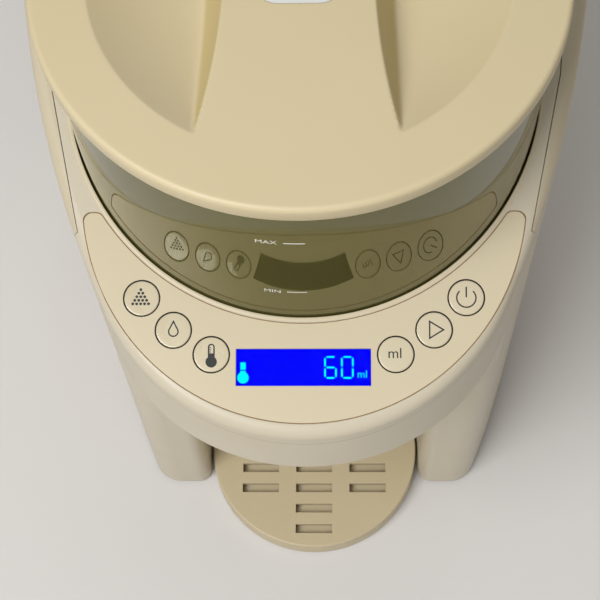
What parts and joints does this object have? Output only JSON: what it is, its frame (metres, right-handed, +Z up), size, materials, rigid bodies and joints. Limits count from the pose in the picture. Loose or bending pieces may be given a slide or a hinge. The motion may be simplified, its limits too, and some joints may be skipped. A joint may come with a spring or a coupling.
{
  "type": "baby formula maker",
  "caption": "Countertop machine that doses powder from a tinted round container, warms water from a rear tank and mixes both through a funnel into a bottle on a round tray.",
  "frame": {"origin": "on the table, in the middle of the machine's plan", "axes": "+Z up, +Y to the back of the machine, +X to the right of someone who faces it"},
  "size_m": [0.227, 0.3, 0.332],
  "materials": {
    "body_plastic": "warm beige moulded plastic, satin, very fine grain",
    "panel_plastic": "smooth beige control panel film, satin",
    "funnel_plastic": "off-white food-grade plastic",
    "smoke_plastic": "smoky olive-grey clear plastic, polished",
    "display_glass": "clear window over a blue backlit display",
    "display_black": "black moulded plastic",
    "badge_grey": "plain pale grey badge",
    "rotor_plastic": "white moulded plastic",
    "steel": "plain steel",
    "motor_metal": "drawn metal can",
    "pump_plastic": "dark grey moulded plastic",
    "silicone": "translucent pale silicone",
    "foot_rubber": "black rubber",
    "board_green": "green circuit board"
  },
  "bodies": {
    "machine": {"base_plate": "body_plastic", "tank_shelf": "body_plastic", "rear_housing": "body_plastic", "front_column": "body_plastic", "chassis_plate": "body_plastic", "head_cover": "body_plastic", "panel_overlay": "panel_plastic", "display_window": "display_glass", "display_module": "display_black", "control_board": "board_green", "tact_switches": "display_black", "board_screws": "steel", "container_well": "funnel_plastic", "powder_chute": "funnel_plastic", "gear_axle": "steel", "drive_motor": "motor_metal", "motor_screws": "steel", "water_nozzle": "funnel_plastic", "tank_dock": "funnel_plastic", "dock_seal": "silicone", "water_pump": "pump_plastic", "water_heater": "motor_metal", "suction_hose": "silicone", "heater_hose": "silicone", "nozzle_hose": "silicone", "power_board": "board_green", "power_inlet": "display_black", "base_screws": "steel", "rubber_feet": "foot_rubber"},
    "gear": {"drive_gear": "rotor_plastic", "drive_dog": "steel"},
    "pinion": {"motor_pinion": "rotor_plastic", "motor_shaft": "steel"},
    "container": {"powder_container": "smoke_plastic", "container_floor": "funnel_plastic", "powder_scraper": "funnel_plastic"},
    "rotor": {"rotor_hub": "rotor_plastic", "dosing_wheel": "rotor_plastic", "agitator": "rotor_plastic"},
    "gasket": {"lid_gasket": "silicone"},
    "lid": {"container_lid": "body_plastic", "lid_liner": "funnel_plastic", "lid_badge": "badge_grey"},
    "funnel": {"mixing_funnel": "funnel_plastic", "funnel_cover": "body_plastic"},
    "tray": {"drip_tray": "body_plastic"},
    "tray_grid": {"tray_cover": "body_plastic"},
    "tank": {"water_tank": "smoke_plastic", "tank_outlet": "funnel_plastic", "valve_cage": "funnel_plastic", "valve_spring": "steel"},
    "valve": {"valve_poppet": "funnel_plastic"},
    "tank_top": {"tank_lid": "body_plastic"},
    "powder_key": {"powder_button": "panel_plastic"},
    "water_key": {"water_button": "panel_plastic"},
    "temperature_key": {"temperature_button": "panel_plastic"},
    "unit_key": {"unit_button": "panel_plastic"},
    "start_key": {"start_button": "panel_plastic"},
    "power_key": {"power_button": "panel_plastic"}
  },
  "joints": [
    {"name": "container_lift", "type": "slide", "parent": "machine", "child": "container", "axis": [0, 0, 1], "range_m": [0, 0.09]},
    {"name": "gear_spin", "type": "hinge", "parent": "machine", "child": "gear", "pos_m": [0, -0.015, 0.197], "axis": [0, 0, 1], "continuous": true},
    {"name": "rotor_spin", "type": "hinge", "parent": "container", "child": "rotor", "pos_m": [0, -0.015, 0.213], "axis": [0, 0, 1], "continuous": true},
    {"name": "pinion_spin", "type": "hinge", "parent": "machine", "child": "pinion", "pos_m": [0, 0.03, 0.197], "axis": [0, 0, 1], "continuous": true},
    {"name": "gasket_lift", "type": "slide", "parent": "container", "child": "gasket", "axis": [0, 0, 1], "range_m": [0, 0.03]},
    {"name": "lid_twist", "type": "hinge", "parent": "gasket", "child": "lid", "pos_m": [0, -0.015, 0.327], "axis": [0, 0, 1], "range_deg": [0, 30]},
    {"name": "funnel_slide", "type": "slide", "parent": "machine", "child": "funnel", "axis": [0, -1, 0], "range_m": [0, 0.1]},
    {"name": "tray_slide", "type": "slide", "parent": "machine", "child": "tray", "axis": [0, -1, 0], "range_m": [0, 0.11]},
    {"name": "tray_grid_lift", "type": "slide", "parent": "tray", "child": "tray_grid", "axis": [0, 0, 1], "range_m": [0, 0.02]},
    {"name": "tank_lift", "type": "slide", "parent": "machine", "child": "tank", "axis": [0, 0, 1], "range_m": [0, 0.06]},
    {"name": "valve_close", "type": "slide", "parent": "tank", "child": "valve", "axis": [0, 0, -1], "range_m": [0, 0.003], "deforming": ["valve_spring"]},
    {"name": "tank_lid_lift", "type": "slide", "parent": "tank", "child": "tank_top", "axis": [0, 0, 1], "range_m": [0, 0.03]},
    {"name": "powder_press", "type": "slide", "parent": "machine", "child": "powder_key", "axis": [0, 0.2588, -0.9659], "range_m": [0, 0.0008], "stiffness_N_per_m": 400},
    {"name": "water_press", "type": "slide", "parent": "machine", "child": "water_key", "axis": [0, 0.2588, -0.9659], "range_m": [0, 0.0008], "stiffness_N_per_m": 400},
    {"name": "temperature_press", "type": "slide", "parent": "machine", "child": "temperature_key", "axis": [0, 0.2588, -0.9659], "range_m": [0, 0.0008], "stiffness_N_per_m": 400},
    {"name": "unit_press", "type": "slide", "parent": "machine", "child": "unit_key", "axis": [0, 0.2588, -0.9659], "range_m": [0, 0.0008], "stiffness_N_per_m": 400},
    {"name": "start_press", "type": "slide", "parent": "machine", "child": "start_key", "axis": [0, 0.2588, -0.9659], "range_m": [0, 0.0008], "stiffness_N_per_m": 400},
    {"name": "power_press", "type": "slide", "parent": "machine", "child": "power_key", "axis": [0, 0.2588, -0.9659], "range_m": [0, 0.0008], "stiffness_N_per_m": 400}
  ],
  "couplings": [
    {"joint": "rotor_spin", "follows": "gear_spin", "ratio": 1},
    {"joint": "pinion_spin", "follows": "gear_spin", "ratio": -4},
    {"joint": "valve_close", "follows": "tank_lift", "ratio": 0.05}
  ]
}
